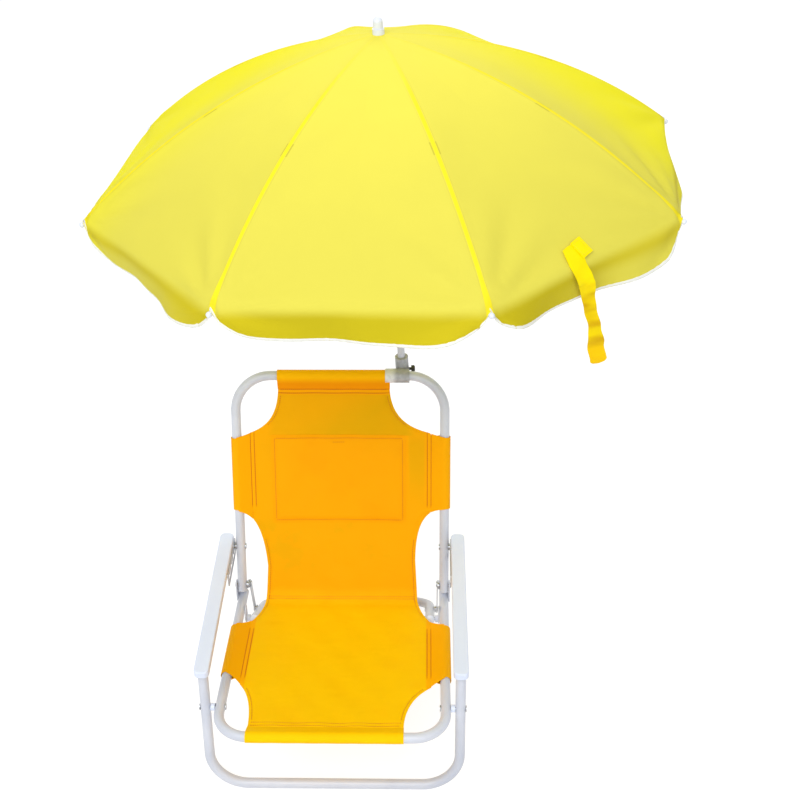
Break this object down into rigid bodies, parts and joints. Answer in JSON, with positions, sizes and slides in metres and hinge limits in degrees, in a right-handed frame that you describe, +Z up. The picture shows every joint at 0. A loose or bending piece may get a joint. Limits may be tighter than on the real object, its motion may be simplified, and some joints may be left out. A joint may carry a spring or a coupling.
{
  "type": "folding beach chair with sun umbrella",
  "caption": "Low folding tube-frame sling chair for a child, with armrests, hinged leg frames and a scalloped sun umbrella clamped beside the head on a lifting pole.",
  "frame": {"origin": "on the floor, on the chair's mid-plane, under the centre of the front ground bar", "axes": "+X to the right seen from the front, +Y to the rear, +Z up"},
  "size_m": [0.8738, 0.9527, 1.0768],
  "materials": {
    "white_paint": "smooth white powder coat with a faint green-grey cast",
    "arm_plastic": "smooth moulded bluish white",
    "steel": "bright zinc plate",
    "seat_cloth": "coated plain weave, golden yellow, stitched hems",
    "patch_cloth": "coated plain weave, deeper golden yellow",
    "canopy_cloth": "thin lemon-yellow nylon",
    "strap_cloth": "thin bright yellow nylon",
    "grey_plastic": "moulded light grey",
    "clear_white": "moulded milky white",
    "dark_plastic": "moulded near black"
  },
  "bodies": {
    "seat": {"seat_frame": "white_paint", "seat_sling": "seat_cloth", "seat_plugs": "arm_plastic", "leg_rivets": "steel", "leg_spacers": "arm_plastic", "rear_rivets": "steel", "rear_spacers": "arm_plastic", "back_rivets": "steel"},
    "back": {"back_frame": "white_paint", "back_plugs": "arm_plastic", "back_sling": "seat_cloth", "back_patch": "patch_cloth", "cranks": "steel", "crank_rivets": "steel", "arm_studs": "steel", "clamp_body": "grey_plastic"},
    "front_leg": {"front_leg": "white_paint", "leg_plugs": "arm_plastic"},
    "rear_leg": {"rear_leg": "white_paint", "rear_plugs": "arm_plastic", "link_rivets": "steel"},
    "arm_left": {"arm_left": "arm_plastic", "adjuster_left": "steel"},
    "arm_right": {"arm_right": "arm_plastic", "adjuster_right": "steel"},
    "link_left": {"link_left": "steel"},
    "link_right": {"link_right": "steel"},
    "clamp_screw": {"clamp_screw": "dark_plastic"},
    "pole": {"pole": "white_paint", "pole_foot": "dark_plastic", "crown": "white_paint", "cap": "clear_white", "canopy": "canopy_cloth", "tie_strap": "strap_cloth"},
    "runner": {"runner": "white_paint"},
    "rib_1": {"rib_1": "white_paint", "tip_1": "clear_white"},
    "rib_2": {"rib_2": "white_paint", "tip_2": "clear_white"},
    "rib_3": {"rib_3": "white_paint", "tip_3": "clear_white"},
    "rib_4": {"rib_4": "white_paint", "tip_4": "clear_white"},
    "rib_5": {"rib_5": "white_paint", "tip_5": "clear_white"},
    "rib_6": {"rib_6": "white_paint", "tip_6": "clear_white"},
    "rib_7": {"rib_7": "white_paint", "tip_7": "clear_white"},
    "rib_8": {"rib_8": "white_paint", "tip_8": "clear_white"},
    "stretcher_1": {"stretcher_1": "white_paint"},
    "stretcher_2": {"stretcher_2": "white_paint"},
    "stretcher_3": {"stretcher_3": "white_paint"},
    "stretcher_4": {"stretcher_4": "white_paint"},
    "stretcher_5": {"stretcher_5": "white_paint"},
    "stretcher_6": {"stretcher_6": "white_paint"},
    "stretcher_7": {"stretcher_7": "white_paint"},
    "stretcher_8": {"stretcher_8": "white_paint"}
  },
  "joints": [
    {"name": "chair_fold", "type": "hinge", "parent": "seat", "child": "back", "pos_m": [0, 0.30511, 0.14572], "axis": [1, 0, 0], "range_deg": [0, 105.75]},
    {"name": "front_leg_fold", "type": "hinge", "parent": "seat", "child": "front_leg", "pos_m": [0, 0.03398, 0.15403], "axis": [1, 0, 0], "range_deg": [0, 88.01]},
    {"name": "rear_leg_fold", "type": "hinge", "parent": "seat", "child": "rear_leg", "pos_m": [0, 0.26256, 0.10763], "axis": [1, 0, 0], "range_deg": [0, 29.09]},
    {"name": "left_arm_fold", "type": "hinge", "parent": "back", "child": "arm_left", "pos_m": [-0.198, 0.33263, 0.21117], "axis": [1, 0, 0], "range_deg": [-112.81, 0]},
    {"name": "right_arm_fold", "type": "hinge", "parent": "back", "child": "arm_right", "pos_m": [0.198, 0.33263, 0.21117], "axis": [1, 0, 0], "range_deg": [-112.81, 0]},
    {"name": "left_link_turn", "type": "hinge", "parent": "rear_leg", "child": "link_left", "pos_m": [-0.1638, 0.333, 0.05657], "axis": [1, 0, 0], "range_deg": [-10.46, 0]},
    {"name": "right_link_turn", "type": "hinge", "parent": "rear_leg", "child": "link_right", "pos_m": [0.1638, 0.333, 0.05657], "axis": [1, 0, 0], "range_deg": [-10.46, 0]},
    {"name": "pole_lift", "type": "slide", "parent": "back", "child": "pole", "axis": [-0.0488, 0.0349, 0.9982], "range_m": [0, 0.05]},
    {"name": "clamp_screw_turn", "type": "hinge", "parent": "back", "child": "clamp_screw", "pos_m": [0.12188, 0.46607, 0.49208], "axis": [0.9988, 0, 0.0488], "continuous": true},
    {"name": "runner_slide", "type": "slide", "parent": "pole", "child": "runner", "axis": [0.0488, -0.0349, -0.9982], "range_m": [0, 0.26103], "deforming": ["canopy", "tie_strap"]},
    {"name": "rib_1_swing", "type": "hinge", "parent": "pole", "child": "rib_1", "pos_m": [0.0802, 0.47414, 1.04977], "axis": [0.9531, 0.3005, 0.0361], "range_deg": [0, 63.02]},
    {"name": "stretcher_1_swing", "type": "hinge", "parent": "rib_1", "child": "stretcher_1", "pos_m": [0.14147, 0.28563, 1.00135], "axis": [0.9531, 0.3005, 0.0361], "range_deg": [-117.69, 0]},
    {"name": "rib_2_swing", "type": "hinge", "parent": "pole", "child": "rib_2", "pos_m": [0.08723, 0.48004, 1.04991], "axis": [0.4627, 0.8865, -0.0084], "range_deg": [0, 63.02]},
    {"name": "stretcher_2_swing", "type": "hinge", "parent": "rib_2", "child": "stretcher_2", "pos_m": [0.26325, 0.38773, 1.00374], "axis": [0.4627, 0.8865, -0.0084], "range_deg": [-117.69, 0]},
    {"name": "rib_3_swing", "type": "hinge", "parent": "pole", "child": "rib_3", "pos_m": [0.08805, 0.48919, 1.04963], "axis": [-0.2987, 0.9531, -0.0479], "range_deg": [0, 63.02]},
    {"name": "stretcher_3_swing", "type": "hinge", "parent": "rib_3", "child": "stretcher_3", "pos_m": [0.27736, 0.54597, 0.99889], "axis": [-0.2987, 0.9531, -0.0479], "range_deg": [-117.69, 0]},
    {"name": "rib_4_swing", "type": "hinge", "parent": "pole", "child": "rib_4", "pos_m": [0.08216, 0.49622, 1.04909], "axis": [-0.8852, 0.4615, -0.0594], "range_deg": [0, 63.02]},
    {"name": "stretcher_4_swing", "type": "hinge", "parent": "rib_4", "child": "stretcher_4", "pos_m": [0.17552, 0.66764, 0.98966], "axis": [-0.8852, 0.4615, -0.0594], "range_deg": [-117.69, 0]},
    {"name": "rib_5_swing", "type": "hinge", "parent": "pole", "child": "rib_5", "pos_m": [0.07303, 0.49702, 1.04862], "axis": [-0.9531, -0.3005, -0.0361], "range_deg": [0, 63.02]},
    {"name": "stretcher_5_swing", "type": "hinge", "parent": "rib_5", "child": "stretcher_5", "pos_m": [0.01741, 0.68149, 0.98144], "axis": [-0.9531, -0.3005, -0.0361], "range_deg": [-117.69, 0]},
    {"name": "rib_6_swing", "type": "hinge", "parent": "pole", "child": "rib_6", "pos_m": [0.06599, 0.49112, 1.04848], "axis": [-0.4627, -0.8865, 0.0084], "range_deg": [0, 63.02]},
    {"name": "stretcher_6_swing", "type": "hinge", "parent": "rib_6", "child": "stretcher_6", "pos_m": [-0.10437, 0.57939, 0.97905], "axis": [-0.4627, -0.8865, 0.0084], "range_deg": [-117.69, 0]},
    {"name": "rib_7_swing", "type": "hinge", "parent": "pole", "child": "rib_7", "pos_m": [0.06517, 0.48197, 1.04876], "axis": [0.2987, -0.9531, 0.0479], "range_deg": [0, 63.02]},
    {"name": "stretcher_7_swing", "type": "hinge", "parent": "rib_7", "child": "stretcher_7", "pos_m": [-0.11848, 0.42115, 0.9839], "axis": [0.2987, -0.9531, 0.0479], "range_deg": [-117.69, 0]},
    {"name": "rib_8_swing", "type": "hinge", "parent": "pole", "child": "rib_8", "pos_m": [0.07106, 0.47494, 1.04929], "axis": [0.8852, -0.4615, 0.0594], "range_deg": [0, 63.02]},
    {"name": "stretcher_8_swing", "type": "hinge", "parent": "rib_8", "child": "stretcher_8", "pos_m": [-0.01665, 0.29948, 0.99313], "axis": [0.8852, -0.4615, 0.0594], "range_deg": [-117.69, 0]}
  ],
  "couplings": [
    {"joint": "front_leg_fold", "follows": "chair_fold", "ratio": 0.83215},
    {"joint": "rear_leg_fold", "follows": "chair_fold", "ratio": 0.275},
    {"joint": "left_arm_fold", "follows": "chair_fold", "ratio": -1.0667},
    {"joint": "right_arm_fold", "follows": "chair_fold", "ratio": -1.0667},
    {"joint": "left_link_turn", "follows": "chair_fold", "ratio": -0.0988},
    {"joint": "right_link_turn", "follows": "chair_fold", "ratio": -0.0988},
    {"joint": "rib_1_swing", "follows": "runner_slide", "rad_per_m": 4.2124},
    {"joint": "stretcher_1_swing", "follows": "runner_slide", "rad_per_m": -7.8677},
    {"joint": "rib_2_swing", "follows": "runner_slide", "rad_per_m": 4.2124},
    {"joint": "stretcher_2_swing", "follows": "runner_slide", "rad_per_m": -7.8677},
    {"joint": "rib_3_swing", "follows": "runner_slide", "rad_per_m": 4.2124},
    {"joint": "stretcher_3_swing", "follows": "runner_slide", "rad_per_m": -7.8677},
    {"joint": "rib_4_swing", "follows": "runner_slide", "rad_per_m": 4.2124},
    {"joint": "stretcher_4_swing", "follows": "runner_slide", "rad_per_m": -7.8677},
    {"joint": "rib_5_swing", "follows": "runner_slide", "rad_per_m": 4.2124},
    {"joint": "stretcher_5_swing", "follows": "runner_slide", "rad_per_m": -7.8677},
    {"joint": "rib_6_swing", "follows": "runner_slide", "rad_per_m": 4.2124},
    {"joint": "stretcher_6_swing", "follows": "runner_slide", "rad_per_m": -7.8677},
    {"joint": "rib_7_swing", "follows": "runner_slide", "rad_per_m": 4.2124},
    {"joint": "stretcher_7_swing", "follows": "runner_slide", "rad_per_m": -7.8677},
    {"joint": "rib_8_swing", "follows": "runner_slide", "rad_per_m": 4.2124},
    {"joint": "stretcher_8_swing", "follows": "runner_slide", "rad_per_m": -7.8677}
  ]
}
